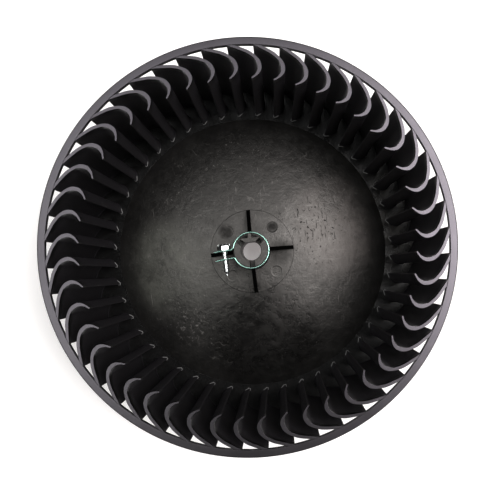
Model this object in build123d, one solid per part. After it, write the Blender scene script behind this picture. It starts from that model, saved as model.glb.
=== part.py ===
"""Forward-curved blower wheel with a split hub, its clamp band and the clamp's screw.

Millimetres. The wheel lies on its back disc. The origin is on the shaft's axis at the underside of
the back disc, and +Z runs along the shaft's axis to the open inlet. The gussets lie on the X and Y
axes, and the clamp's ears stand out towards -X.

The wheel itself is one moulding. It is written as one node for each of its natural members: the
inlet ring, every blade, the back disc, the hub boss and every gusset. They meet face to face.
"""

import math
import os

from build123d import *

# ---- wheel -----------------------------------------------------------------
WHEEL_DIAMETER = 241.3  # 9-1/2 in over the inlet ring
WHEEL_WIDTH = 101.6  # 4 in from the back disc to the inlet ring's face
BLADE_COUNT = 48
RING_WALL = 4.5  # radial width of the inlet ring
RING_HEIGHT = 4.0
RING_EDGE_RADIUS = 0.7
BLADE_SET_DOWN = 0.5  # blade ends sit this far below the ring's face
BLADE_START_ANGLE = -2.9  # crest of the first blade, from the +X gusset

# ---- back disc -------------------------------------------------------------
RIM_THICKNESS = 2.2
DOME_FOOT_RADIUS = 93.5
DOME_SPHERE_RADIUS = 286.3
PAD_RADIUS = 28.4
PAD_TOP_Z = 17.2
EJECTOR_MARK_RADIUS = 3.5
EJECTOR_MARK_CIRCLE = 21.5
EJECTOR_MARK_DEPTH = 0.3

# ---- hub boss --------------------------------------------------------------
BORE_RADIUS = 6.35  # 1/2 in shaft
FINGER_BORE_RADIUS = 6.6  # the split fingers stand a little off the shaft
FLAT_DISTANCE = 5.3  # shaft's axis to the flat finger's inner face
FLAT_FINGER_THICKNESS = 2.9
FLAT_FINGER_RIB_WIDTH = 2.4
COLLAR_RADIUS = 12.2
CLAMP_SEAT_RADIUS = 11.15
SLEEVE_BOTTOM_Z = 12.3
ROUND_BORE_TOP_Z = 29.5
SLOT_BOTTOM_Z = 30.0
SHOULDER_Z = 34.5
BOSS_TOP_Z = 45.2
SLOT_WIDTH = 3.1
SLOT_ANGLES = (42.0, 138.0, 270.0)
BORE_CHAMFER = 0.6

# ---- gussets ---------------------------------------------------------------
GUSSET_COUNT = 4
GUSSET_THICKNESS = 2.6
GUSSET_TOP_Z = 34.2
GUSSET_TOE_HEIGHT = 1.4

# ---- clamp band ------------------------------------------------------------
STRIP_THICKNESS = 0.75
STRIP_WIDTH = 9.5
CLAMP_BOTTOM_Z = 34.9
CLAMP_SEAT_GAP = 0.12  # radial play on the boss
CLAMP_TURN = 4.4  # the clamp is fitted this far round from the -X gusset
EAR_END = 23.8  # ear's end, from the shaft's axis
EAR_OFFSET = 2.9  # lower ear, from the clamp's centre line
SCREW_SIDE_EAR_LEAN = 3.0  # degrees, slope of the ear under the screw's head
HEAD_SIDE_BEND_ANGLE = 162.5  # where the band leaves the boss for the screw head's ear
EAR_BEND_RADIUS = 1.5
EAR_BEND_ALLOWANCE = 0.6  # keeps that bend clear of the screw's washer
HINGE_GAP = 0.05  # between the band's two halves, opposite the ears

# ---- clamp screw -----------------------------------------------------------
SCREW_DISTANCE = 17.45  # from the shaft's axis
SCREW_EAR_OFFSET = 2.7  # upper ear's middle at the screw
SCREW_RADIUS = 2.1  # over the thread
SCREW_LENGTH = 17.3  # under the head
SCREW_POINT_LENGTH = 4.2
SCREW_POINT_RADIUS = 0.25
WASHER_RADIUS = 4.05
WASHER_THICKNESS = 0.5
HEX_ACROSS_FLATS = 7.94
HEX_HEIGHT = 3.7
HEX_TURN = -15.0  # degrees about the screw, of a corner from straight up
HEAD_EAR_HOLE_RADIUS = 2.4
THREAD_EAR_HOLE_RADIUS = 2.6
THREAD_EAR_HOLE_SHIFT = 0.28  # towards the ear's end, which leaves the ear room to swing

# ---- worked out ------------------------------------------------------------
RING_OUTER_RADIUS = WHEEL_DIAMETER / 2
RING_INNER_RADIUS = RING_OUTER_RADIUS - RING_WALL
BLADE_PITCH = 360 / BLADE_COUNT
BLADE_LENGTH = WHEEL_WIDTH - BLADE_SET_DOWN - RIM_THICKNESS
DOME_CENTRE_Z = RIM_THICKNESS - math.sqrt(DOME_SPHERE_RADIUS**2 - DOME_FOOT_RADIUS**2)
PAD_SPHERE_RADIUS = math.hypot(PAD_RADIUS, PAD_TOP_Z - DOME_CENTRE_Z)
BAND_RADIUS = CLAMP_SEAT_RADIUS + CLAMP_SEAT_GAP + STRIP_THICKNESS / 2

# One blade's section, with its crest on the +X axis. The crest leads when the wheel turns the
# other way, so the hollow side faces +Y. Both sides run on past the ring's inner radius and are
# trimmed to it.
CREST_SIDE = [
    (115.7, 21.0),
    (113.8, 12.5),
    (111.9, 7.1),
    (107.6, 1.5),
    (103.0, 0.0),
    (99.6, 1.4),
    (96.6, 4.7),
]
HOLLOW_SIDE = [
    (97.4, 5.3),
    (99.5, 3.3),
    (103.0, 2.3),
    (107.5, 4.1),
    (109.7, 7.0),
    (111.6, 11.3),
    (115.1, 24.6),
]
BLADE_TIP = (96.7, 5.4)


def cylinder(radius, bottom, top):
    """A solid cylinder on the shaft's axis between two heights."""
    base = Align.CENTER, Align.CENTER, Align.MIN
    return Pos(0, 0, bottom) * Cylinder(radius, top - bottom, align=base)


def polar(radius, degrees):
    """The point at a radius and an angle in the XY plane."""
    angle = math.radians(degrees)
    return radius * math.cos(angle), radius * math.sin(angle)


def sphere_point(radius, distance):
    """Where a sphere on the dome's centre is at a distance from the shaft's axis."""
    return distance, DOME_CENTRE_Z + math.sqrt(radius**2 - distance**2)


def dome_ball(radius):
    """A ball on the dome's centre."""
    return Pos(0, 0, DOME_CENTRE_Z) * Sphere(radius)


def inlet_ring():
    """The plain ring that ties the blades' outer edges at the inlet end."""
    bottom = WHEEL_WIDTH - RING_HEIGHT
    ring = cylinder(RING_OUTER_RADIUS, bottom, WHEEL_WIDTH)
    ring -= cylinder(RING_INNER_RADIUS, bottom, WHEEL_WIDTH)
    outer_edges = ring.edges().filter_by(GeomType.CIRCLE).sort_by(Axis.Z)[-2:]
    return fillet(outer_edges, RING_EDGE_RADIUS)


def blade(angle):
    """One forward-curved blade, trimmed to the ring's inner radius."""
    outline = [
        Spline(*CREST_SIDE),
        ThreePointArc(CREST_SIDE[-1], BLADE_TIP, HOLLOW_SIDE[0]),
        Spline(*HOLLOW_SIDE),
        Line(HOLLOW_SIDE[-1], CREST_SIDE[0]),
    ]
    section = make_face(outline)
    body = Pos(0, 0, RIM_THICKNESS) * extrude(section, amount=BLADE_LENGTH, dir=(0, 0, 1))
    body &= cylinder(RING_INNER_RADIUS, 0, WHEEL_WIDTH)
    return Rot(0, 0, angle) * body


def back_disc():
    """The flat rim that carries the blades, the dome inside it and the pad raised at its middle."""
    inner_radius = DOME_SPHERE_RADIUS - RIM_THICKNESS
    inner_foot = math.sqrt(inner_radius**2 - DOME_CENTRE_Z**2)
    under_hub = sphere_point(inner_radius, COLLAR_RADIUS)
    under_middle = sphere_point(inner_radius, DOME_FOOT_RADIUS / 2)
    pad_edge = sphere_point(DOME_SPHERE_RADIUS, PAD_RADIUS)
    over_middle = sphere_point(DOME_SPHERE_RADIUS, DOME_FOOT_RADIUS * 2 / 3)
    pad_middle = sphere_point(PAD_SPHERE_RADIUS, (PAD_RADIUS + COLLAR_RADIUS) / 2)
    pad_inside = sphere_point(PAD_SPHERE_RADIUS, COLLAR_RADIUS)
    profile = make_face(
        [
            ThreePointArc(under_hub, under_middle, (inner_foot, 0)),
            Polyline(
                (inner_foot, 0),
                (RING_INNER_RADIUS, 0),
                (RING_INNER_RADIUS, RIM_THICKNESS),
                (DOME_FOOT_RADIUS, RIM_THICKNESS),
            ),
            ThreePointArc((DOME_FOOT_RADIUS, RIM_THICKNESS), over_middle, pad_edge),
            Line(pad_edge, (PAD_RADIUS, PAD_TOP_Z)),
            ThreePointArc((PAD_RADIUS, PAD_TOP_Z), pad_middle, pad_inside),
            Line(pad_inside, under_hub),
        ]
    )
    disc = revolve(Plane.XZ * profile, Axis.Z)
    mark_floor = dome_ball(PAD_SPHERE_RADIUS - EJECTOR_MARK_DEPTH)
    for quarter in range(GUSSET_COUNT):
        x, y = polar(EJECTOR_MARK_CIRCLE, 45 + 90 * quarter)
        mark = cylinder(EJECTOR_MARK_RADIUS, PAD_TOP_Z - RIM_THICKNESS, PAD_TOP_Z + RIM_THICKNESS)
        disc -= Pos(x, y, 0) * mark - mark_floor
    return disc


def flat_finger_sector():
    """The wedge of space between the two slots beside the flat finger."""
    reach = 2 * COLLAR_RADIUS
    corners = [(0, 0), polar(reach, SLOT_ANGLES[0]), polar(reach, SLOT_ANGLES[1])]
    wedge = extrude(make_face(Polyline(*corners, close=True)), amount=BOSS_TOP_Z, dir=(0, 0, 1))
    return Pos(0, 0, SLOT_BOTTOM_Z) * wedge


def flat_finger():
    """The thin bar that bears on the shaft's flat, with the rib on its back that meets the clamp."""
    height = BOSS_TOP_Z - SLOT_BOTTOM_Z
    rib_depth = CLAMP_SEAT_RADIUS - FLAT_DISTANCE
    base = Align.CENTER, Align.MIN, Align.MIN
    bar = Box(2 * CLAMP_SEAT_RADIUS, FLAT_FINGER_THICKNESS, height, align=base)
    rib = Box(FLAT_FINGER_RIB_WIDTH, rib_depth, height, align=base)
    finger = Pos(0, FLAT_DISTANCE, SLOT_BOTTOM_Z) * (bar + rib)
    return finger & flat_finger_sector() & cylinder(CLAMP_SEAT_RADIUS, 0, BOSS_TOP_Z)


def hub_boss():
    """The bored boss: a round sleeve below, three split fingers above, one of them flat."""
    boss = cylinder(COLLAR_RADIUS, SLEEVE_BOTTOM_Z, SHOULDER_Z)
    boss += cylinder(CLAMP_SEAT_RADIUS, SHOULDER_Z, BOSS_TOP_Z)
    boss -= cylinder(BORE_RADIUS, SLEEVE_BOTTOM_Z, ROUND_BORE_TOP_Z)
    boss -= cylinder(FINGER_BORE_RADIUS, ROUND_BORE_TOP_Z, BOSS_TOP_Z)
    lead_in = Cone(FINGER_BORE_RADIUS, FINGER_BORE_RADIUS + BORE_CHAMFER, BORE_CHAMFER)
    boss -= Pos(0, 0, BOSS_TOP_Z - BORE_CHAMFER / 2) * lead_in
    boss -= flat_finger_sector()
    boss += flat_finger()
    slot_base = Align.MIN, Align.CENTER, Align.MIN
    slot = Box(2 * COLLAR_RADIUS, SLOT_WIDTH, BOSS_TOP_Z, align=slot_base)
    for angle in SLOT_ANGLES:
        boss -= Rot(0, 0, angle) * Pos(0, 0, SLOT_BOTTOM_Z) * slot
    return boss


def gusset(angle):
    """One triangular web from the boss's collar down to the pad's edge."""
    side = Polyline(
        (COLLAR_RADIUS - SLOT_WIDTH, PAD_TOP_Z),
        (PAD_RADIUS, PAD_TOP_Z),
        (PAD_RADIUS, PAD_TOP_Z + GUSSET_TOE_HEIGHT),
        (COLLAR_RADIUS, GUSSET_TOP_Z),
        (COLLAR_RADIUS - SLOT_WIDTH, GUSSET_TOP_Z),
        close=True,
    )
    web = extrude(Plane.XZ * make_face(side), amount=GUSSET_THICKNESS / 2, both=True)
    web -= cylinder(COLLAR_RADIUS, 0, WHEEL_WIDTH)
    web -= dome_ball(PAD_SPHERE_RADIUS)
    return Rot(0, 0, angle) * web


def screw_plane():
    """The plane under the screw's head, in the clamp's own frame, with Z out of the head."""
    lean = math.radians(SCREW_SIDE_EAR_LEAN)
    outwards = (math.sin(lean), math.cos(lean), 0)
    middle = Vector(-SCREW_DISTANCE, SCREW_EAR_OFFSET, CLAMP_BOTTOM_Z + STRIP_WIDTH / 2)
    seat = middle + Vector(*outwards) * (STRIP_THICKNESS / 2)
    return Plane(origin=seat, x_dir=(0, 0, 1), z_dir=outwards)


def screw_hole(radius):
    """A cutter along the screw's axis that goes through both ears."""
    return screw_plane() * Cylinder(radius, 4 * SCREW_LENGTH)


def strip(centre_line):
    """A length of the band's strip that follows a line in the XY plane."""
    section = trace(centre_line, STRIP_THICKNESS)
    return Pos(0, 0, CLAMP_BOTTOM_Z) * extrude(section, amount=STRIP_WIDTH, dir=(0, 0, 1))


def strip_corner(point):
    """The round outside of a sharp bend in the strip."""
    base = Align.CENTER, Align.CENTER, Align.MIN
    corner = Cylinder(STRIP_THICKNESS / 2, STRIP_WIDTH, align=base)
    return Pos(point[0], point[1], CLAMP_BOTTOM_Z) * corner


def clamp_band_head_side():
    """The half of the band whose ear the screw's head bears on, and that ear."""
    slope = math.tan(math.radians(SCREW_SIDE_EAR_LEAN))
    seat_start = SCREW_DISTANCE - WASHER_RADIUS - EAR_BEND_ALLOWANCE
    ear_start = (-seat_start, SCREW_EAR_OFFSET - (SCREW_DISTANCE - seat_start) * slope)
    ear_end = (-EAR_END, SCREW_EAR_OFFSET + (EAR_END - SCREW_DISTANCE) * slope)
    bend = polar(BAND_RADIUS, HEAD_SIDE_BEND_ANGLE)
    half = ThreePointArc((BAND_RADIUS, 0), polar(BAND_RADIUS, HEAD_SIDE_BEND_ANGLE / 2), bend)
    ear = FilletPolyline(bend, ear_start, ear_end, radius=EAR_BEND_RADIUS)
    band = strip(half) + strip(ear) + strip_corner(bend)
    band -= screw_hole(HEAD_EAR_HOLE_RADIUS)
    return Rot(0, 0, CLAMP_TURN) * band


def clamp_band_thread_side():
    """The half of the band whose ear the screw threads into, and that ear."""
    bend_angle = 180 + math.degrees(math.asin(EAR_OFFSET / BAND_RADIUS))
    gap_angle = math.degrees(HINGE_GAP / BAND_RADIUS)
    start = polar(BAND_RADIUS, -gap_angle)
    middle = polar(BAND_RADIUS, (bend_angle - 360) / 2)
    bend = polar(BAND_RADIUS, bend_angle)
    half = ThreePointArc(start, middle, bend)
    ear = Line(bend, (-EAR_END, -EAR_OFFSET))
    band = strip(half) + strip(ear) + strip_corner(bend)
    band -= Pos(-THREAD_EAR_HOLE_SHIFT, 0, 0) * screw_hole(THREAD_EAR_HOLE_RADIUS)
    return Rot(0, 0, CLAMP_TURN) * band


def clamp_screw():
    """Washer-faced hex head screw with a sharp point; its shank is as wide as its thread."""
    down = Align.CENTER, Align.CENTER, Align.MAX
    up = Align.CENTER, Align.CENTER, Align.MIN
    shank_length = SCREW_LENGTH - SCREW_POINT_LENGTH
    screw = Cylinder(WASHER_RADIUS, WASHER_THICKNESS, align=up)
    corner = HEX_ACROSS_FLATS / math.sqrt(3)
    hexagon = Rot(0, 0, HEX_TURN) * RegularPolygon(corner, 6)
    screw += Pos(0, 0, WASHER_THICKNESS) * extrude(hexagon, amount=HEX_HEIGHT, dir=(0, 0, 1))
    screw += Cylinder(SCREW_RADIUS, shank_length, align=down)
    point = Cone(SCREW_POINT_RADIUS, SCREW_RADIUS, SCREW_POINT_LENGTH, align=down)
    screw += Pos(0, 0, -shank_length) * point
    return Rot(0, 0, CLAMP_TURN) * (screw_plane() * screw)


def main():
    os.makedirs("parts", exist_ok=True)
    nodes = {
        "inlet_ring": inlet_ring(),
        "back_disc": back_disc(),
        "hub_boss": hub_boss(),
        "clamp_band_head_side": clamp_band_head_side(),
        "clamp_band_thread_side": clamp_band_thread_side(),
        "clamp_screw": clamp_screw(),
    }
    for number in range(GUSSET_COUNT):
        nodes[f"hub_gusset_{number + 1}"] = gusset(360 / GUSSET_COUNT * number)
    for number in range(BLADE_COUNT):
        nodes[f"blade_{number + 1:02d}"] = blade(BLADE_START_ANGLE + BLADE_PITCH * number)
    for name, shape in nodes.items():
        export_step(shape, f"parts/{name}.step")


main()
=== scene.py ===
"""Looks of the forward-curved blower wheel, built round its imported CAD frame.

Meshes are written in millimetres in the frame's own axes and scaled to metres as they are made.
"""

import math

import bmesh
import bpy
from mathutils import Matrix, Vector, noise


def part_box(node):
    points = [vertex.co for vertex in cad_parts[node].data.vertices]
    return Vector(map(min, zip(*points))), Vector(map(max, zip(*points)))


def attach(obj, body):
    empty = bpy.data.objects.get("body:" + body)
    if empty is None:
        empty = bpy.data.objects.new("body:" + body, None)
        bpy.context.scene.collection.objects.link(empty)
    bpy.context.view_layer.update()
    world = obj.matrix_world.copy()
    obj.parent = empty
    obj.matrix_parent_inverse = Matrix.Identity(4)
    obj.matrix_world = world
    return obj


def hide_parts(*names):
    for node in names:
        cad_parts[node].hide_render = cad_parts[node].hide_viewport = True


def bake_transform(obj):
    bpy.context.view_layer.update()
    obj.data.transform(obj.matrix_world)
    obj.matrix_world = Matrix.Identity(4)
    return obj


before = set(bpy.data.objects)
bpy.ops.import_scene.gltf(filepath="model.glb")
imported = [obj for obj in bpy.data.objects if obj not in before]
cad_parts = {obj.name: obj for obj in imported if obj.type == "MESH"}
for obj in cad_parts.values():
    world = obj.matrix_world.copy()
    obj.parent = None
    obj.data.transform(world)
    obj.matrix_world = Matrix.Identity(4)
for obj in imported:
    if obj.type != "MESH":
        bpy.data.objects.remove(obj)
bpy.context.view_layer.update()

MM = 0.001
TURN = 2 * math.pi

# ---- sizes read from the frame ------------------------------------------------
ring_low, ring_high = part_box("inlet_ring")
RING_OUTER = ring_high.x / MM
RING_BOTTOM = ring_low.z / MM
WHEEL_WIDTH = ring_high.z / MM
RIM_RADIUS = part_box("back_disc")[1].x / MM
PAD_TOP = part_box("hub_gusset_1")[0].z / MM
PAD_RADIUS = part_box("hub_gusset_1")[1].x / MM
GUSSET_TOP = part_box("hub_gusset_1")[1].z / MM
BOSS_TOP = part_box("hub_boss")[1].z / MM
SLEEVE_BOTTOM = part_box("hub_boss")[0].z / MM
CLAMP_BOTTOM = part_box("clamp_band_head_side")[0].z / MM
CLAMP_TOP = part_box("clamp_band_head_side")[1].z / MM

# ---- sizes that the boxes don't give -----------------------------------------
BLADE_COUNT = 48
BLADE_START_ANGLE = -2.9
BLADE_SET_DOWN = 0.15
RIM_THICKNESS = 2.2
DOME_FOOT_RADIUS = 93.5
DOME_SPHERE_RADIUS = 286.3
DOME_CENTRE_Z = RIM_THICKNESS - math.sqrt(DOME_SPHERE_RADIUS**2 - DOME_FOOT_RADIUS**2)
PAD_SPHERE_RADIUS = math.hypot(PAD_RADIUS, PAD_TOP - DOME_CENTRE_Z)
EJECTOR_MARK_RADIUS = 3.5
EJECTOR_MARK_CIRCLE = 21.5
EJECTOR_MARK_DEPTH = 0.3

BORE_RADIUS = 6.35
FINGER_BORE_RADIUS = 6.6
COLLAR_RADIUS = 12.2
CLAMP_SEAT_RADIUS = 11.15
SLOT_BOTTOM = 30.0
SHOULDER = 34.5
SLOT_HALF_WIDTH = 1.55
SLOT_ANGLES = (42.0, 138.0, 270.0)
FLAT_DISTANCE = 5.3
FLAT_FINGER_THICKNESS = 2.9
FLAT_FINGER_RIB_WIDTH = 2.4
GUSSET_THICKNESS = 2.6
GUSSET_TOE_HEIGHT = 1.4

STRIP_THICKNESS = 0.75
BAND_RADIUS = 11.645
CLAMP_TURN = math.radians(4.4)
EAR_END = 23.8
EAR_OFFSET = 2.9
SCREW_DISTANCE = 17.45
SCREW_EAR_OFFSET = 2.7
SCREW_LEAN = math.radians(3.0)
SCREW_RADIUS = 2.1
SCREW_LENGTH = 17.3
SCREW_POINT_LENGTH = 4.2
THREAD_PITCH = 2.6
THREAD_DEPTH = 0.65
HEAD_HOLE_RADIUS = 2.4
THREAD_HOLE_RADIUS = 2.6
THREAD_HOLE_SHIFT = 0.28  # towards the ear's end, which leaves the ear room to swing
WASHER_RADIUS = 4.05
WASHER_THICKNESS = 0.5
HEX_ACROSS_FLATS = 7.94
HEX_HEIGHT = 3.7
HEX_TURN = -15.0

# One blade's section, with its crest on the +X axis.
CREST_SIDE = [
    (115.7, 21.0),
    (113.8, 12.5),
    (111.9, 7.1),
    (107.6, 1.5),
    (103.0, 0.0),
    (99.6, 1.4),
    (96.6, 4.7),
]
HOLLOW_SIDE = [
    (97.4, 5.3),
    (99.5, 3.3),
    (103.0, 2.3),
    (107.5, 4.1),
    (109.7, 7.0),
    (111.6, 11.3),
    (115.1, 24.6),
]
BLADE_TIP = (96.7, 5.4)
# how far out the painted highlight at the blades' feet reaches
FOOT_HIGHLIGHT_REACH = 98.1
LEDGE_FALL = 0.2


# ---- outlines ----------------------------------------------------------------
def polar(radius, degrees):
    """The point at a radius and an angle."""
    angle = math.radians(degrees)
    return radius * math.cos(angle), radius * math.sin(angle)


def rounded(corners, steps=4):
    """The closed outline through corners (x, y, radius), with an arc of its radius at each."""
    outline = []
    for k, (x, y, radius) in enumerate(corners):
        if radius == 0:
            outline.append((x, y))
            continue
        here = Vector((x, y))
        before = (Vector(corners[k - 1][:2]) - here).normalized()
        after = (Vector(corners[(k + 1) % len(corners)][:2]) - here).normalized()
        half = before.angle(after) / 2
        middle = here + (before + after).normalized() * (radius / math.sin(half))
        start = here + before * (radius / math.tan(half)) - middle
        end = here + after * (radius / math.tan(half)) - middle
        first = math.atan2(start.y, start.x)
        turn = (math.atan2(end.y, end.x) - first + math.pi) % TURN - math.pi
        for step in range(steps + 1):
            angle = first + turn * step / steps
            outline.append((middle.x + radius * math.cos(angle), middle.y + radius * math.sin(angle)))
    return outline


def curve_through(points, steps):
    """A smooth curve through points, with its tangents set by the length of each span."""
    places = [Vector(p) for p in points]
    times = [0.0]
    for before, after in zip(places, places[1:]):
        times.append(times[-1] + (after - before).length)
    tangents = []
    for k in range(len(places)):
        low, high = max(k - 1, 0), min(k + 1, len(places) - 1)
        tangents.append((places[high] - places[low]) / (times[high] - times[low]))
    curve = [places[0]]
    for k in range(len(places) - 1):
        span = times[k + 1] - times[k]
        for step in range(1, steps + 1):
            t = step / steps
            curve.append(
                (2 * t**3 - 3 * t**2 + 1) * places[k]
                + (t**3 - 2 * t**2 + t) * span * tangents[k]
                + (3 * t**2 - 2 * t**3) * places[k + 1]
                + (t**3 - t**2) * span * tangents[k + 1]
            )
    return curve


def trim_to_radius(points, radius):
    """The points of an open line that are inside a circle, with its crossing of the circle added."""
    kept = []
    for here, after in zip(points, points[1:]):
        inside, next_inside = here.length <= radius, after.length <= radius
        if inside:
            kept.append(here)
        if inside != next_inside:
            share = (radius - here.length) / (after.length - here.length)
            kept.append(here.lerp(after, share))
    if points[-1].length <= radius:
        kept.append(points[-1])
    return kept


def offset(outline, distance):
    """A counter-clockwise outline pushed outwards by a distance."""
    moved = []
    for k, point in enumerate(outline):
        here = Vector(point)
        before = (here - Vector(outline[k - 1])).normalized()
        after = (Vector(outline[(k + 1) % len(outline)]) - here).normalized()
        along = (before + after).normalized()
        moved.append(here + Vector((along.y, -along.x)) * distance)
    return moved


# ---- meshes ------------------------------------------------------------------
def make_piece(name, vertices, faces, material, slot, sharp_angle=40):
    """A mesh object from millimetre vertices, shaded smooth except at sharp edges."""
    mesh = bpy.data.meshes.new(name)
    mesh.from_pydata([Vector(v) * MM for v in vertices], [], faces)
    work = bmesh.new()
    work.from_mesh(mesh)
    bmesh.ops.recalc_face_normals(work, faces=work.faces)
    work.to_mesh(mesh)
    work.free()
    mesh.shade_smooth()
    mesh.set_sharp_from_angle(angle=math.radians(sharp_angle))
    mesh.materials.append(material)
    piece = bpy.data.objects.new(name, mesh)
    bpy.context.scene.collection.objects.link(piece)
    weights = piece.modifiers.new("even_normals", "WEIGHTED_NORMAL")
    weights.keep_sharp = True
    return piece


def join_rings(ring_count, ring_size, wrap):
    """Quads between rings of vertices, each ring closed, and the last ring joined to the first."""
    faces = []
    for ring in range(ring_count if wrap else ring_count - 1):
        low, high = ring * ring_size, (ring + 1) % ring_count * ring_size
        for k in range(ring_size):
            after = (k + 1) % ring_size
            faces.append((low + k, low + after, high + after, high + k))
    return faces


def lathe(profile, segments):
    """Vertices and faces of a closed (radius, height) profile turned about the shaft's axis."""
    vertices = []
    for segment in range(segments):
        angle = TURN * segment / segments
        c, s = math.cos(angle), math.sin(angle)
        vertices += [(r * c, r * s, z) for r, z in profile]
    return vertices, join_rings(segments, len(profile), wrap=True)


def loft(outline, levels):
    """Vertices and faces of a closed solid through an outline at levels (height, offset)."""
    vertices = []
    for height, distance in levels:
        vertices += [(x, y, height) for x, y in offset(outline, distance)]
    size = len(outline)
    faces = join_rings(len(levels), size, wrap=False)
    faces.append(tuple(range(size)))
    faces.append(tuple(range(len(vertices) - size, len(vertices))))
    return vertices, faces


def moved(vertices, matrix):
    """Vertices taken through a matrix."""
    return [matrix @ Vector(v) for v in vertices]


def merge(*solids):
    """The vertices and faces of several solids as one list of each."""
    vertices, faces = [], []
    for more_vertices, more_faces in solids:
        start = len(vertices)
        vertices += list(more_vertices)
        faces += [tuple(start + k for k in face) for face in more_faces]
    return vertices, faces


# ---- materials ---------------------------------------------------------------
class Nodes:
    """A material's node tree, with one call for each node."""

    def __init__(self, name):
        self.material = bpy.data.materials.new(name)
        self.material.use_nodes = True
        self.tree = self.material.node_tree
        self.tree.nodes.clear()

    def add(self, kind, inputs=(), output=0, **settings):
        """A node of a kind, with its inputs linked or set, and one of its outputs returned."""
        made = self.tree.nodes.new("ShaderNode" + kind)
        for key, value in settings.items():
            setattr(made, key, value)
        for key, value in dict(inputs).items():
            self.feed(made.inputs[key], value)
        return made.outputs[output] if made.outputs else None

    def feed(self, socket, value):
        """A socket linked to another node's output, or set to a value."""
        if isinstance(value, bpy.types.NodeSocket):
            self.tree.links.new(value, socket)
        else:
            socket.default_value = value

    def place(self, scale=(1, 1, 1), turn=(0, 0, 0), shift=(0, 0, 0)):
        """The place on the object in metres, scaled, turned and shifted."""
        point = self.add("TexCoord", output="Object")
        return self.add("Mapping", {"Vector": point, "Scale": scale, "Rotation": turn, "Location": shift})

    def noise(self, scale, detail=3, roughness=0.55, place=None, distortion=0.0):
        """Noise with features about 1 / scale metres apart."""
        vector = place or self.place()
        values = {"Vector": vector, "Scale": scale, "Detail": detail, "Roughness": roughness}
        return self.add("TexNoise", {**values, "Distortion": distortion})

    def spread(self, value, low, high, to_low=0.0, to_high=1.0):
        """A value taken from one range to another, with smooth ends."""
        values = {"Value": value, "From Min": low, "From Max": high, "To Min": to_low, "To Max": to_high}
        return self.add("MapRange", values, interpolation_type="SMOOTHSTEP")

    def maths(self, operation, first, second=0.0):
        """One step of arithmetic."""
        return self.add("Math", {0: first, 1: second}, operation=operation)

    def mix(self, share, first, second):
        """One colour turned into another."""
        values = {0: share, 6: first, 7: second}
        return self.add("Mix", values, output=2, data_type="RGBA")

    def from_axis(self):
        """Distance from the shaft's axis, in metres."""
        flat = self.place(scale=(1, 1, 0))
        return self.add("VectorMath", {"Vector": flat}, output="Value", operation="LENGTH")

    def height(self):
        """Height over the wheel's back, in metres."""
        point = self.add("TexCoord", output="Object")
        return self.add("SeparateXYZ", {"Vector": point}, output="Z")

    def patch(self, centre, reach):
        """1 within a spot on the object and 0 beyond it, with a soft edge."""
        point = self.add("TexCoord", output="Object")
        where = [value * MM for value in centre]
        away = self.add("VectorMath", {0: point, 1: where}, output="Value", operation="DISTANCE")
        return self.spread(away, reach * MM, reach * MM * 0.35)

    def finish(self, **sockets):
        """The Principled shader that ends the tree."""
        values = {key.replace("_", " "): value for key, value in sockets.items()}
        surface = self.add("BsdfPrincipled", values)
        self.add("OutputMaterial", {"Surface": surface})
        return self.material


def grey(value, warmth=0.0):
    """A near-neutral colour, a little warm or cool."""
    return value * (1 + warmth), value, value * (1 - warmth), 1


def streaks(nodes, angle, width, length, amount):
    """Thin straight marks in one direction over the XY plane, 0 or 1."""
    scale = (1 / (width * MM), 1 / (length * MM), 1 / (length * MM))
    along = nodes.place(scale=scale, turn=(0, 0, math.radians(angle)))
    return nodes.spread(nodes.noise(1, detail=2, place=along), 1 - amount, 1.04 - amount)


def blade_foot_painted_highlight(nodes):
    """A painted highlight along the foot of each blade's inner tip, where the fillet there catches the
    light.
    """
    height = nodes.height()
    low = nodes.spread(height, (RIM_THICKNESS + 0.35) * MM, (RIM_THICKNESS + 0.15) * MM)
    tip = nodes.spread(nodes.from_axis(), FOOT_HIGHLIGHT_REACH * MM, (FOOT_HIGHLIGHT_REACH - 0.4) * MM)
    outside = nodes.spread(nodes.from_axis(), DOME_FOOT_RADIUS * MM, (DOME_FOOT_RADIUS + 2) * MM)
    return nodes.maths("MULTIPLY", low, nodes.maths("MULTIPLY", tip, outside))


def moulded_black(name):
    """Satin black moulding: faint clouding, fine grain and a few handling marks, with painted shade deep
    in the wheel and a painted highlight at each blade's foot.
    """
    nodes = Nodes(name)
    cloud = nodes.noise(30, detail=4, roughness=0.6)
    grain = nodes.noise(1800, detail=2)
    wave = nodes.noise(55, detail=1)
    marks = nodes.maths("MULTIPLY", streaks(nodes, 25, 0.9, 22, 0.33), nodes.spread(cloud, 0.5, 0.62))
    # painted shade: the colour darkens below the inlet face, down the blades' channels where shade falls
    depth_shade = nodes.spread(nodes.height(), 0.100, 0.092)
    colour = nodes.mix(cloud, grey(0.003), grey(0.006, 0.03))
    colour = nodes.mix(nodes.maths("MULTIPLY", depth_shade, 0.85), colour, grey(0.0006))
    colour = nodes.mix(nodes.maths("MULTIPLY", marks, 0.5), colour, grey(0.045, 0.04))
    # painted highlight at the foot of each blade's inner tip
    colour = nodes.mix(nodes.maths("MULTIPLY", blade_foot_painted_highlight(nodes), 0.8), colour, grey(0.24, 0.01))
    rough = nodes.add("MapRange", {"Value": cloud, "To Min": 0.22, "To Max": 0.33})
    rough = nodes.maths("ADD", rough, nodes.maths("MULTIPLY", depth_shade, 0.35))
    rough = nodes.maths("ADD", rough, nodes.maths("MULTIPLY", grain, 0.06))
    broad = nodes.add("Bump", {"Height": wave, "Strength": 0.25, "Distance": 0.0006})
    fine = nodes.add("Bump", {"Height": grain, "Strength": 0.12, "Distance": 0.0001, "Normal": broad})
    tint = (1.0, 0.93, 1.05, 1)
    return nodes.finish(Base_Color=colour, Roughness=rough, Normal=fine, IOR=1.49, Specular_Tint=tint)


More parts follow.
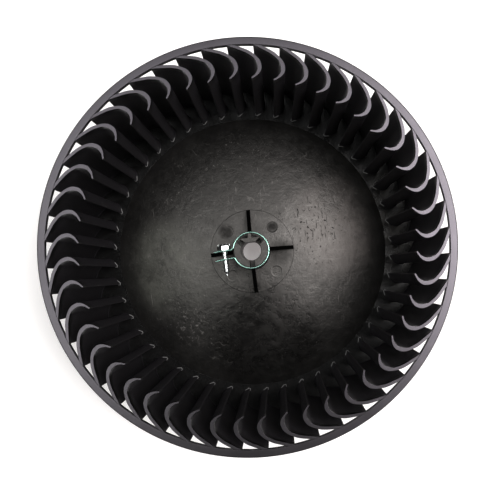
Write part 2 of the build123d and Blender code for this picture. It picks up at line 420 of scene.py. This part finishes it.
def hairlines(nodes, scale, width):
    """Fine curved scratches: the level lines of a slow noise, broken up by a quicker one."""
    level = nodes.noise(scale, detail=1.5, distortion=0.8)
    away = nodes.maths("ABSOLUTE", nodes.maths("SUBTRACT", level, 0.5))
    line = nodes.spread(away, width, 0.0)
    kept = nodes.spread(nodes.noise(scale * 1.7, detail=2), 0.53, 0.58)
    return nodes.maths("MULTIPLY", line, kept)


def disc_black(name):
    """The same moulding where hands have worked on it: scuffs, scratches and stains, with painted
    highlights left and right of the hub and painted shade low down and beside the pad.
    """
    nodes = Nodes(name)
    cloud = nodes.noise(26, detail=6, roughness=0.62)
    mottle = nodes.noise(170, detail=6, roughness=0.7)
    grain = nodes.noise(1800, detail=2)
    right_sheen, left_sheen = nodes.patch(RIGHT_SHEEN_SPOT, 44), nodes.patch(LEFT_SHEEN_SPOT, 42)
    light_scuff, rubbed = nodes.patch(LIGHT_SCUFF, 20), nodes.patch(RUBBED_SPOT, 36)
    low_scuff = nodes.patch(LOW_SCUFF, 12)
    flecks = nodes.spread(nodes.noise(430, detail=4, roughness=0.7), 0.60, 0.70)
    specks = nodes.spread(nodes.noise(620, detail=2), 0.68, 0.73)
    hairs = hairlines(nodes, 70, 0.008)
    dense_hairs = hairlines(nodes, 190, 0.02)
    slashes = nodes.maths("MAXIMUM", streaks(nodes, 60, 0.6, 14, 0.31), streaks(nodes, -35, 0.5, 10, 0.30))
    scuffs = nodes.maths("MAXIMUM", light_scuff, low_scuff)
    worn = nodes.maths("MULTIPLY", scuffs, nodes.maths("MAXIMUM", flecks, dense_hairs))
    worn = nodes.maths("MAXIMUM", worn, nodes.maths("MULTIPLY", hairs, 0.5))
    worn = nodes.maths("MAXIMUM", worn, nodes.maths("MULTIPLY", slashes, nodes.spread(cloud, 0.5, 0.62)))
    worn = nodes.maths("MAXIMUM", worn, nodes.maths("MULTIPLY", specks, 0.6))
    colour = nodes.mix(cloud, grey(0.002, 0.01), grey(0.006, 0.04))
    # mottle that breaks up the painted highlights
    sheen_mottle = nodes.spread(nodes.maths("ADD", cloud, nodes.maths("MULTIPLY", mottle, 0.5)), 0.45, 0.95)
    fade_start, fade_end = (DOME_FOOT_RADIUS - 20) * MM, (DOME_FOOT_RADIUS - 5) * MM
    foot = nodes.spread(nodes.from_axis(), fade_start, fade_end, 1.0, 0.15)
    sheen_mottle = nodes.maths("MULTIPLY", sheen_mottle, foot)
    worn = nodes.maths("MULTIPLY", worn, foot)
    # painted highlights: lighter patches left and right of the hub, warm on the right and cool on the left
    colour = nodes.mix(nodes.maths("MULTIPLY", right_sheen, sheen_mottle), colour, (0.066, 0.058, 0.055, 1))
    colour = nodes.mix(nodes.maths("MULTIPLY", left_sheen, sheen_mottle), colour, (0.046, 0.047, 0.041, 1))
    colour = nodes.mix(nodes.maths("MULTIPLY", worn, 0.55), colour, grey(0.14, 0.05))
    dark_marks = nodes.maths("MULTIPLY", rubbed, streaks(nodes, 115, 0.9, 8, 0.36))
    pits = nodes.maths("MULTIPLY", rubbed, nodes.spread(nodes.noise(520, detail=2), 0.36, 0.31))
    dark_marks = nodes.maths("MAXIMUM", dark_marks, pits)
    stains = nodes.maths("MAXIMUM", nodes.patch(UPPER_STAIN, 4.6), nodes.patch(LEFT_STAIN, 6.5))
    stains = nodes.maths("MULTIPLY", stains, nodes.spread(mottle, 0.2, 0.55))
    dark_marks = nodes.maths("MAXIMUM", dark_marks, nodes.maths("MULTIPLY", stains, 0.8))
    colour = nodes.mix(dark_marks, colour, grey(0.001))
    # painted shade: the colour darkened over the lower side of the disc and beside the pad's right edge
    low_side_shade, shade = nodes.patch(LOW_SIDE_SHADE, 54), nodes.patch(PAD_SHADE, 12)
    darker = nodes.maths("MULTIPLY", nodes.maths("MAXIMUM", low_side_shade, shade), 0.8)
    colour = nodes.mix(darker, colour, grey(0.0005))
    grime = nodes.spread(mottle, 0.3, 0.7)
    rough = nodes.add("MapRange", {"Value": grime, "To Min": 0.33, "To Max": 0.45})
    rough = nodes.maths("SUBTRACT", rough, nodes.maths("MULTIPLY", low_side_shade, 0.13))
    rough = nodes.maths("ADD", rough, nodes.maths("MULTIPLY", shade, 0.15))
    rough = nodes.maths("ADD", rough, nodes.spread(cloud, 0.3, 0.7, -0.05, 0.05))
    rough = nodes.maths("ADD", rough, nodes.maths("MULTIPLY", dark_marks, 0.5))
    broad = nodes.add("Bump", {"Height": mottle, "Strength": 0.6, "Distance": 0.0005})
    waves = nodes.add("Bump", {"Height": cloud, "Strength": 0.5, "Distance": 0.0012, "Normal": broad})
    fine = nodes.add("Bump", {"Height": grain, "Strength": 0.12, "Distance": 0.0001, "Normal": waves})
    cut = nodes.add("Bump", {"Height": worn, "Strength": 0.3, "Distance": 0.00005, "Normal": fine})
    tint = (1.0, 0.96, 0.92, 1)
    return nodes.finish(Base_Color=colour, Roughness=rough, Normal=cut, IOR=1.42, Specular_Tint=tint)


def ledge_black():
    """The glossier rim between the blades' feet, with a near-black base that paints the shade between them
    and a painted sheen on its right side.
    """
    nodes = Nodes("ledge_black")
    cloud = nodes.noise(120, detail=5)
    ledge_sheen = nodes.maths("MULTIPLY", nodes.patch(RIGHT_LEDGE_SHEEN, 70), nodes.spread(cloud, 0.35, 0.6))
    # painted shade: a base darker than the disc's, for the rim between the blades' feet
    colour = nodes.mix(cloud, grey(0.0003), grey(0.0015, 0.05))
    # painted sheen on the right side, broken up by cloud
    colour = nodes.mix(ledge_sheen, colour, grey(0.014, 0.08))
    rough = nodes.add("MapRange", {"Value": cloud, "To Min": 0.20, "To Max": 0.30})
    bump = nodes.add("Bump", {"Height": cloud, "Strength": 0.3, "Distance": 0.0004})
    return nodes.finish(Base_Color=colour, Roughness=rough, Normal=bump, IOR=1.35)


def clamp_zinc():
    """Spring steel strip with a pale green zinc finish and rolling lines along it."""
    nodes = Nodes("clamp_zinc")
    lines = nodes.noise(1, detail=3, place=nodes.place(scale=(90, 90, 5000)))
    cloud = nodes.noise(260, detail=4)
    colour = nodes.mix(cloud, (0.20, 0.42, 0.35, 1), (0.42, 0.64, 0.57, 1))
    rough = nodes.add("MapRange", {"Value": lines, "To Min": 0.20, "To Max": 0.34})
    bump = nodes.add("Bump", {"Height": lines, "Strength": 0.15, "Distance": 0.00003})
    return nodes.finish(Base_Color=colour, Metallic=1.0, Roughness=rough, Normal=bump)


def screw_zinc():
    """Bright zinc plate, a little cloudy."""
    nodes = Nodes("screw_zinc")
    cloud = nodes.noise(700, detail=4)
    colour = nodes.mix(cloud, (0.74, 0.76, 0.77, 1), (0.92, 0.93, 0.92, 1))
    rough = nodes.add("MapRange", {"Value": cloud, "To Min": 0.18, "To Max": 0.38})
    bump = nodes.add("Bump", {"Height": cloud, "Strength": 0.1, "Distance": 0.00003})
    return nodes.finish(Base_Color=colour, Metallic=1.0, Roughness=rough, Normal=bump)


def table_white():
    """A matt white table with a faint glow, so that it comes out as white as the photograph's."""
    nodes = Nodes("table_white")
    cloud = nodes.noise(3, detail=3)
    colour = nodes.mix(cloud, grey(0.86), grey(0.90))
    glow = (1.0, 0.93, 0.92, 1)
    return nodes.finish(Base_Color=colour, Roughness=0.6, Emission_Color=glow, Emission_Strength=0.27)


# Marks on the disc, and the spots of painted highlight and painted shade, at their places on the wheel.
LIGHT_SCUFF = (-48, -45, 8)
LOW_SCUFF = (43, -31, 10)
RUBBED_SPOT = (43, 12, 14)
RIGHT_SHEEN_SPOT = (60, 12, 9)
LEFT_SHEEN_SPOT = (-61, -6, 9)
RIGHT_LEDGE_SHEEN = (125, 10, 8)
LOW_SIDE_SHADE = (5, -52, 8)
PAD_SHADE = (20, -3, 18)
UPPER_STAIN = (*polar(EJECTOR_MARK_CIRCLE, 45), 17)
LEFT_STAIN = (*polar(EJECTOR_MARK_CIRCLE + 1, 137), 17)

PLASTIC = moulded_black("moulded_black")
DISC_PLASTIC = disc_black("disc_black")
LEDGE_PLASTIC = ledge_black()
CLAMP_ZINC = clamp_zinc()
SCREW_ZINC = screw_zinc()


# ---- the moulded wheel -------------------------------------------------------
def inlet_ring():
    """The ring that ties the blades, crisp at its face and eased at its other edges."""
    inner = RIM_RADIUS
    profile = rounded(
        [
            (inner, RING_BOTTOM, 0.25),
            (RING_OUTER, RING_BOTTOM, 0.3),
            (RING_OUTER, WHEEL_WIDTH, 0.7),
            (inner, WHEEL_WIDTH, 0.25),
        ]
    )
    ring = make_piece("inlet_ring_moulding", *lathe(profile, 384), PLASTIC, "moulded_black")
    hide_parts("inlet_ring")
    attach(ring, "wheel")


def blade_outline():
    """The blade's section inside the ring, counter-clockwise."""
    crest = trim_to_radius(curve_through(CREST_SIDE, 6), RIM_RADIUS)
    hollow = trim_to_radius(curve_through(HOLLOW_SIDE, 6), RIM_RADIUS)
    tip = Vector(BLADE_TIP)
    return [tuple(p) for p in reversed(crest + [tip] + hollow)]


def blades():
    """Every blade: eased at its front edge, a little thicker towards the disc, and flared into it."""
    front = WHEEL_WIDTH - BLADE_SET_DOWN
    ledge = RIM_THICKNESS - LEDGE_FALL
    levels = [
        (ledge - 0.2, 0.9),
        (ledge + 0.1, 0.65),
        (ledge + 0.3, 0.42),
        (ledge + 0.6, 0.24),
        (ledge + 1.2, 0.14),
        (ledge + 2.5, 0.12),
        (WHEEL_WIDTH / 2, 0.06),
        (front - 0.15, 0.0),
        (front - 0.05, -0.04),
        (front, -0.12),
    ]
    vertices, faces = loft(blade_outline(), levels)
    held = []
    for x, y, z in vertices:
        share = min(1, RIM_RADIUS / math.hypot(x, y))
        held.append((x * share, y * share, z))
    for number in range(BLADE_COUNT):
        angle = math.radians(BLADE_START_ANGLE) + TURN * number / BLADE_COUNT
        turned = moved(held, Matrix.Rotation(angle, 4, "Z"))
        name = f"blade_{number + 1:02d}"
        piece = make_piece(name + "_moulding", turned, faces, PLASTIC, "moulded_black")
        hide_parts(name)
        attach(piece, "wheel")


def sphere_height(radius, distance):
    """Height of a sphere on the dome's centre at a distance from the shaft's axis."""
    return DOME_CENTRE_Z + math.sqrt(radius**2 - distance**2)


def sphere_run(radius, start, end, count):
    """Points along a sphere between two distances from the shaft's axis."""
    run = []
    for k in range(1, count):
        distance = start + (end - start) * k / count
        run.append((distance, sphere_height(radius, distance), 0))
    return run


def disc_profile():
    """The back disc with the boss's collar and sleeve, as one closed section."""
    inner_sphere = DOME_SPHERE_RADIUS - RIM_THICKNESS
    inner_foot = math.sqrt(inner_sphere**2 - DOME_CENTRE_Z**2)
    pad_rows = 44
    pad_inner, pad_outer = COLLAR_RADIUS + 1.0, PAD_RADIUS - 0.4
    pad = []
    for k in range(pad_rows + 1):
        distance = pad_outer + (pad_inner - pad_outer) * k / pad_rows
        pad.append((distance, sphere_height(PAD_SPHERE_RADIUS, distance), 0))
    return rounded(
        [
            (BORE_RADIUS, SLEEVE_BOTTOM + 0.5, 0),
            (BORE_RADIUS + 0.5, SLEEVE_BOTTOM, 0),
            (COLLAR_RADIUS, SLEEVE_BOTTOM, 0.4),
            (COLLAR_RADIUS, sphere_height(inner_sphere, COLLAR_RADIUS), 0.8),
            *sphere_run(inner_sphere, COLLAR_RADIUS, inner_foot, 30),
            (inner_foot, 0, 0.6),
            (RIM_RADIUS, 0, 0.4),
            (RIM_RADIUS, RIM_THICKNESS - LEDGE_FALL, 0.3),
            (DOME_FOOT_RADIUS + 5, RIM_THICKNESS - LEDGE_FALL, 0),
            (DOME_FOOT_RADIUS, RIM_THICKNESS, 0.4),
            *sphere_run(DOME_SPHERE_RADIUS, DOME_FOOT_RADIUS, PAD_RADIUS, 34),
            (PAD_RADIUS, sphere_height(DOME_SPHERE_RADIUS, PAD_RADIUS), 0.2),
            (PAD_RADIUS, PAD_TOP, 0.2),
            *pad,
            (COLLAR_RADIUS, sphere_height(PAD_SPHERE_RADIUS, COLLAR_RADIUS), 0.6),
            (COLLAR_RADIUS, SLOT_BOTTOM, 0),
            (BORE_RADIUS, SLOT_BOTTOM, 0),
        ]
    )


def ejector_dent(x, y):
    """How far the pad's face is pushed down at a place, by the four ejector marks."""
    depth = 0.0
    for quarter in range(4):
        mark_x, mark_y = polar(EJECTOR_MARK_CIRCLE, 45 + 90 * quarter)
        away = math.hypot(x - mark_x, y - mark_y) - EJECTOR_MARK_RADIUS
        share = min(max(0.5 - away / 0.5, 0), 1)
        full = EJECTOR_MARK_DEPTH if quarter == 0 else EJECTOR_MARK_DEPTH / 2
        depth += full * share * share * (3 - 2 * share)
        depth -= 0.03 * math.exp(-(((away - 0.5) / 0.3) ** 2))
    return depth


def back_disc():
    """The disc, its dome and pad, and the round part of the boss, with the moulding's own slight waves."""
    vertices, faces = lathe(disc_profile(), 512)
    shaped = []
    for x, y, z in vertices:
        distance = math.hypot(x, y)
        if z > PAD_TOP - 0.05 and COLLAR_RADIUS + 0.8 < distance < PAD_RADIUS - 0.3:
            z -= ejector_dent(x, y)
        if PAD_RADIUS < distance < DOME_FOOT_RADIUS:
            z += 0.05 * noise.noise(Vector((x, y, z)) / 28)
        shaped.append((x, y, z))
    disc = make_piece("back_disc_moulding", shaped, faces, DISC_PLASTIC, "moulded_black")
    disc.data.materials.append(LEDGE_PLASTIC)
    for face in disc.data.polygons:
        if face.center.xy.length > DOME_FOOT_RADIUS * MM:
            face.material_index = 1
    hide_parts("back_disc")
    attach(disc, "wheel")


def round_finger(start, end, outer, inset):
    """The section of a round finger between two slots, counter-clockwise."""
    outline = []
    for radius, first, last in ((outer - inset, start, end), (FINGER_BORE_RADIUS + inset, end, start)):
        edge = math.degrees(math.asin((SLOT_HALF_WIDTH + inset) / radius))
        side = edge if first < last else -edge
        for step in range(33):
            outline.append(polar(radius, first + side + (last - first - 2 * side) * step / 32))
    return outline


def round_finger_solid(start, end):
    """A round finger: the collar's radius at its foot, the clamp's seat above, and eased edges."""
    levels = [
        (SLOT_BOTTOM, COLLAR_RADIUS, 0.0),
        (SHOULDER - 0.3, COLLAR_RADIUS, 0.0),
        (SHOULDER, COLLAR_RADIUS - 0.3, 0.0),
        (SHOULDER, CLAMP_SEAT_RADIUS, 0.0),
        (BOSS_TOP - 0.4, CLAMP_SEAT_RADIUS, 0.0),
        (BOSS_TOP - 0.15, CLAMP_SEAT_RADIUS, 0.1),
        (BOSS_TOP, CLAMP_SEAT_RADIUS, 0.35),
    ]
    vertices = []
    for height, outer, inset in levels:
        vertices += [(x, y, height) for x, y in round_finger(start, end, outer, inset)]
    size = len(vertices) // len(levels)
    faces = join_rings(len(levels), size, wrap=False)
    faces.append(tuple(range(size)))
    faces.append(tuple(range(len(vertices) - size, len(vertices))))
    return vertices, faces


def flat_finger_outline():
    """The flat finger's T section: the bar that bears on the shaft's flat, and the rib behind it."""
    back = FLAT_DISTANCE + FLAT_FINGER_THICKNESS
    rib = FLAT_FINGER_RIB_WIDTH / 2
    first, last = SLOT_ANGLES[0], SLOT_ANGLES[1]
    slot_run = math.tan(math.radians(90 - first))
    slot_shift = SLOT_HALF_WIDTH / math.sin(math.radians(first))
    inner_x = FLAT_DISTANCE * slot_run - slot_shift
    outer_x = back * slot_run - slot_shift
    rib_top = math.sqrt(CLAMP_SEAT_RADIUS**2 - rib**2)
    return rounded(
        [
            (-inner_x, FLAT_DISTANCE, 0.25),
            (inner_x, FLAT_DISTANCE, 0.25),
            (outer_x, back, 0.3),
            (rib, back, 0.35),
            (rib, rib_top, 0.2),
            (-rib, rib_top, 0.2),
            (-rib, back, 0.35),
            (-outer_x, back, 0.3),
        ]
    )


def hub_boss():
    """The three fingers that the clamp closes on the shaft."""
    finger_spans = ((SLOT_ANGLES[1], SLOT_ANGLES[2]), (SLOT_ANGLES[2], SLOT_ANGLES[0] + 360))
    solids = [round_finger_solid(start, end) for start, end in finger_spans]
    top_easing = [(BOSS_TOP - 0.3, 0.0), (BOSS_TOP - 0.1, -0.06), (BOSS_TOP, -0.2)]
    solids.append(loft(flat_finger_outline(), [(SLOT_BOTTOM, 0.0), *top_easing]))
    boss = make_piece("hub_boss_moulding", *merge(*solids), DISC_PLASTIC, "moulded_black")
    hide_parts("hub_boss")
    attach(boss, "wheel")


def gussets():
    """The four webs that brace the boss, thicker at their foot."""
    outline = rounded(
        [
            (COLLAR_RADIUS - 0.6, PAD_TOP - 0.4, 0),
            (PAD_RADIUS, PAD_TOP - 0.4, 0),
            (PAD_RADIUS, PAD_TOP + GUSSET_TOE_HEIGHT, 0.5),
            (COLLAR_RADIUS, GUSSET_TOP, 0),
            (COLLAR_RADIUS - 0.6, GUSSET_TOP, 0),
        ]
    )
    half = GUSSET_THICKNESS / 2
    levels = [(-half, -0.25), (-half + 0.08, -0.1), (-half + 0.25, 0.0)]
    levels += [(-height, distance) for height, distance in reversed(levels)]
    vertices, faces = loft(outline, levels)
    upright = [(x, height, y) for x, y, height in vertices]
    for number in range(4):
        turned = moved(upright, Matrix.Rotation(TURN * number / 4, 4, "Z"))
        name = f"hub_gusset_{number + 1}"
        piece = make_piece(name + "_moulding", turned, faces, LEDGE_PLASTIC, "moulded_black")
        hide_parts(name)
        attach(piece, "wheel")


# ---- the clamp ---------------------------------------------------------------
def clamp_line():
    """The band's centre line in the clamp's own frame, from one ear's end round to the other's."""
    slope = math.tan(SCREW_LEAN)
    head_bend, thread_bend = 162.5, 180 + math.degrees(math.asin(EAR_OFFSET / BAND_RADIUS))
    seat = SCREW_DISTANCE - WASHER_RADIUS - 0.6
    head_ear = [
        (-EAR_END, SCREW_EAR_OFFSET + (EAR_END - SCREW_DISTANCE) * slope - 0.35, 0),
        (-SCREW_DISTANCE - 3.0, SCREW_EAR_OFFSET + 3.0 * slope, 0),
        (-seat, SCREW_EAR_OFFSET - (SCREW_DISTANCE - seat) * slope, 1.5),
        (*polar(BAND_RADIUS, head_bend), 0.4),
    ]
    steps = 72
    band = []
    for step in range(1, steps):
        angle = head_bend + (thread_bend - 360 - head_bend) * step / steps
        band.append((*polar(BAND_RADIUS, angle), 0))
    thread_ear = [
        (*polar(BAND_RADIUS, thread_bend), 0.5),
        (-SCREW_DISTANCE - 1.0, -EAR_OFFSET, 0),
        (-EAR_END, -EAR_OFFSET - 0.3, 0),
    ]
    return rounded(head_ear + band + thread_ear)


def strip_section():
    """The strip's rounded section: across its thickness, and up its width."""
    half = STRIP_THICKNESS / 2
    return rounded(
        [
            (-half, CLAMP_BOTTOM, 0.33),
            (half, CLAMP_BOTTOM, 0.33),
            (half, CLAMP_TOP, 0.33),
            (-half, CLAMP_TOP, 0.33),
        ]
    )


def clamp_solid():
    """The strip's section carried along its line, with closed ends."""
    line = clamp_line()
    section = strip_section()
    vertices = []
    for k, (x, y) in enumerate(line):
        before, after = line[max(k - 1, 0)], line[min(k + 1, len(line) - 1)]
        along = Vector((after[0] - before[0], after[1] - before[1])).normalized()
        for across, height in section:
            vertices.append((x - along.y * across, y + along.x * across, height))
    size = len(section)
    faces = join_rings(len(line), size, wrap=False)
    faces.append(tuple(range(size)))
    faces.append(tuple(range(len(vertices) - size, len(vertices))))
    return vertices, faces


def screw_matrix():
    """From the screw's own frame, with its head's seat at 0 and +Z out of the head, to the wheel's."""
    out = Vector((math.sin(SCREW_LEAN), math.cos(SCREW_LEAN), 0))
    up = Vector((0, 0, 1))
    side = out.cross(up)
    middle = Vector((-SCREW_DISTANCE, SCREW_EAR_OFFSET, (CLAMP_BOTTOM + CLAMP_TOP) / 2))
    turned = Matrix((up, side, out)).transposed().to_4x4()
    seat = Matrix.Translation(middle + out * STRIP_THICKNESS / 2)
    return Matrix.Rotation(CLAMP_TURN, 4, "Z") @ seat @ turned


def circle(radius, count):
    """A circle's points, counter-clockwise."""
    return [polar(radius, 360 * k / count) for k in range(count)]


def clamp_band():
    """The one-piece spring clamp, drilled for its screw."""
    vertices, faces = clamp_solid()
    turned = moved(vertices, Matrix.Rotation(CLAMP_TURN, 4, "Z"))
    band = make_piece("clamp_band", turned, faces, CLAMP_ZINC, "clamp_zinc")
    drills = (
        (HEAD_HOLE_RADIUS, 0.0, 0.0),
        (THREAD_HOLE_RADIUS, -EAR_OFFSET - SCREW_EAR_OFFSET, -THREAD_HOLE_SHIFT),
    )
    for radius, depth, shift in drills:
        levels = [(depth - 1.5, 0.0), (depth + 1.5, 0.0)]
        drill_vertices, drill_faces = loft(circle(radius, 48), levels)
        placed = moved(drill_vertices, screw_matrix())
        drill = make_piece("drill", placed, drill_faces, CLAMP_ZINC, "clamp_zinc")
        drill.data.transform(Matrix.Translation((shift * MM, 0, 0)))
        cut = band.modifiers.new("drilled", "BOOLEAN")
        cut.operation, cut.object, cut.solver = "DIFFERENCE", drill, "EXACT"
        apply_modifiers(band)
        bpy.data.objects.remove(drill)
    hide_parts("clamp_band_head_side", "clamp_band_thread_side")
    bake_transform(band)


def apply_modifiers(piece):
    """A piece's modifiers worked into its mesh."""
    graph = bpy.context.evaluated_depsgraph_get()
    mesh = bpy.data.meshes.new_from_object(piece.evaluated_get(graph), depsgraph=graph)
    piece.modifiers.clear()
    piece.data = mesh


def thread_height(depth, angle):
    """The screw's radius at a depth below its head and an angle round it."""
    phase = (depth / THREAD_PITCH - angle / TURN) % 1
    crest = max(0, 1 - abs(phase - 0.5) / 0.34)
    radius = SCREW_RADIUS - THREAD_DEPTH * (1 - min(1, crest * 1.25))
    left = SCREW_LENGTH - depth
    if left < SCREW_POINT_LENGTH:
        share = left / SCREW_POINT_LENGTH
        radius = 0.06 + (radius - 0.06) * share**0.7
    return radius


def clamp_screw():
    """The screw: a washer face, a hollow-topped hexagon and a real helical thread to its point."""
    around, rows = 48, 230
    vertices = []
    for row in range(rows + 1):
        depth = SCREW_LENGTH * row / rows
        for k in range(around):
            angle = TURN * k / around
            radius = thread_height(depth, angle)
            vertices.append((radius * math.cos(angle), radius * math.sin(angle), 0.1 - depth))
    faces = join_rings(rows + 1, around, wrap=False)
    faces.append(tuple(range(around)))
    faces.append(tuple(range(len(vertices) - around, len(vertices))))
    washer_levels = [(0.0, -0.1), (0.1, 0.0), (WASHER_THICKNESS, 0.0), (WASHER_THICKNESS, -0.6)]
    washer = loft(circle(WASHER_RADIUS, 64), washer_levels)
    corner = HEX_ACROSS_FLATS / math.sqrt(3)
    hexagon = rounded([(*polar(corner, HEX_TURN + 60 * k), 0.25) for k in range(6)])
    top = WASHER_THICKNESS + HEX_HEIGHT
    hex_levels = [
        (WASHER_THICKNESS, -0.25),
        (WASHER_THICKNESS + 0.15, 0.0),
        (top - 1.5, 0.0),
        (top - 0.9, -0.35),
        (top - 0.35, -1.0),
        (top, -1.7),
        (top - 0.25, -2.0),
        (top - 0.6, -2.2),
    ]
    solids = merge((vertices, faces), washer, loft(hexagon, hex_levels))
    placed = moved(solids[0], screw_matrix())
    screw = make_piece("clamp_screw_threaded", placed, solids[1], SCREW_ZINC, "screw_zinc", sharp_angle=32)
    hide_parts("clamp_screw")
    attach(screw, "screw")


inlet_ring()
blades()
back_disc()
hub_boss()
gussets()
clamp_band()
clamp_screw()


# ---- stage, light and camera -------------------------------------------------
CAMERA_ROLL = math.radians(5.92)
CAMERA_RIGHT = Vector((math.cos(CAMERA_ROLL), -math.sin(CAMERA_ROLL), 0))
CAMERA_UP = Vector((math.sin(CAMERA_ROLL), math.cos(CAMERA_ROLL), 0))
CAMERA_ABOVE = 422.6  # over the inlet ring's face
SOFTBOX_DISTANCE = 1.5  # metres from the inlet ring's face


def table():
    """The pale table that the wheel stands on."""
    size, low = 3.0, -0.0003
    corners = [(-size, -size, low), (size, -size, low), (size, size, low), (-size, size, low)]
    mesh = bpy.data.meshes.new("table")
    mesh.from_pydata(corners, [], [(0, 1, 2, 3)])
    mesh.materials.append(table_white())
    top = bpy.data.objects.new("table", mesh)
    bpy.context.scene.collection.objects.link(top)


def softbox(name, towards, lean, size, radiance, colour):
    """A round softbox that faces the wheel from a direction round the camera and a lean off it."""
    around, down = math.radians(towards), math.radians(lean)
    out = CAMERA_RIGHT * math.cos(around) + CAMERA_UP * math.sin(around)
    direction = (out * math.sin(down) + Vector((0, 0, math.cos(down)))).normalized()
    lamp = bpy.data.lights.new(name, "AREA")
    lamp.shape, lamp.size = "DISK", size
    lamp.energy = radiance * math.pi * math.pi * size**2 / 4
    lamp.color = colour
    box = bpy.data.objects.new(name, lamp)
    box.location = direction * SOFTBOX_DISTANCE + Vector((0, 0, WHEEL_WIDTH * MM))
    box.rotation_mode = "QUATERNION"
    box.rotation_quaternion = direction.to_track_quat("Z", "Y")
    bpy.context.scene.collection.objects.link(box)


def light():
    """Broad soft light from the right, the left and above the frame, and a dim room."""
    world = bpy.data.worlds.new("room")
    world.use_nodes = True
    background = world.node_tree.nodes["Background"]
    background.inputs["Color"].default_value = (0.95, 0.97, 1.0, 1)
    background.inputs["Strength"].default_value = 0.05
    bpy.context.scene.world = world
    warm, plain, cool = (1.0, 0.97, 0.96), (1, 1, 1), (0.99, 1.0, 0.97)
    softbox("right_box", 6, 25, 0.68, 16.5, warm)
    softbox("upper_right_box", 42, 22, 0.52, 11.5, warm)
    softbox("upper_box", 92, 15, 0.50, 3.9, plain)
    softbox("upper_left_box", 138, 21, 0.52, 4.1, plain)
    softbox("left_box", 180, 24.5, 0.66, 5.9, cool)
    softbox("lower_left_box", 210, 21, 0.40, 4.5, cool)
    softbox("lower_right_box", 334, 33, 0.34, 8.5, warm)


def camera():
    """Straight down into the inlet, a little to one side of the shaft, framed off centre."""
    lens = bpy.data.cameras.new("camera")
    lens.sensor_width, lens.lens = 36, 53.21
    lens.shift_x, lens.shift_y = -0.0526, 0.0431
    lens.clip_start = 0.01
    eye = bpy.data.objects.new("camera", lens)
    aside = CAMERA_RIGHT * 16.45 + CAMERA_UP * -13.88
    eye.location = (aside + Vector((0, 0, WHEEL_WIDTH + CAMERA_ABOVE))) * MM
    eye.rotation_euler = (0, 0, -CAMERA_ROLL)
    bpy.context.scene.collection.objects.link(eye)
    bpy.context.scene.camera = eye


table()
light()
camera()
bpy.context.scene.view_settings.view_transform = "Standard"
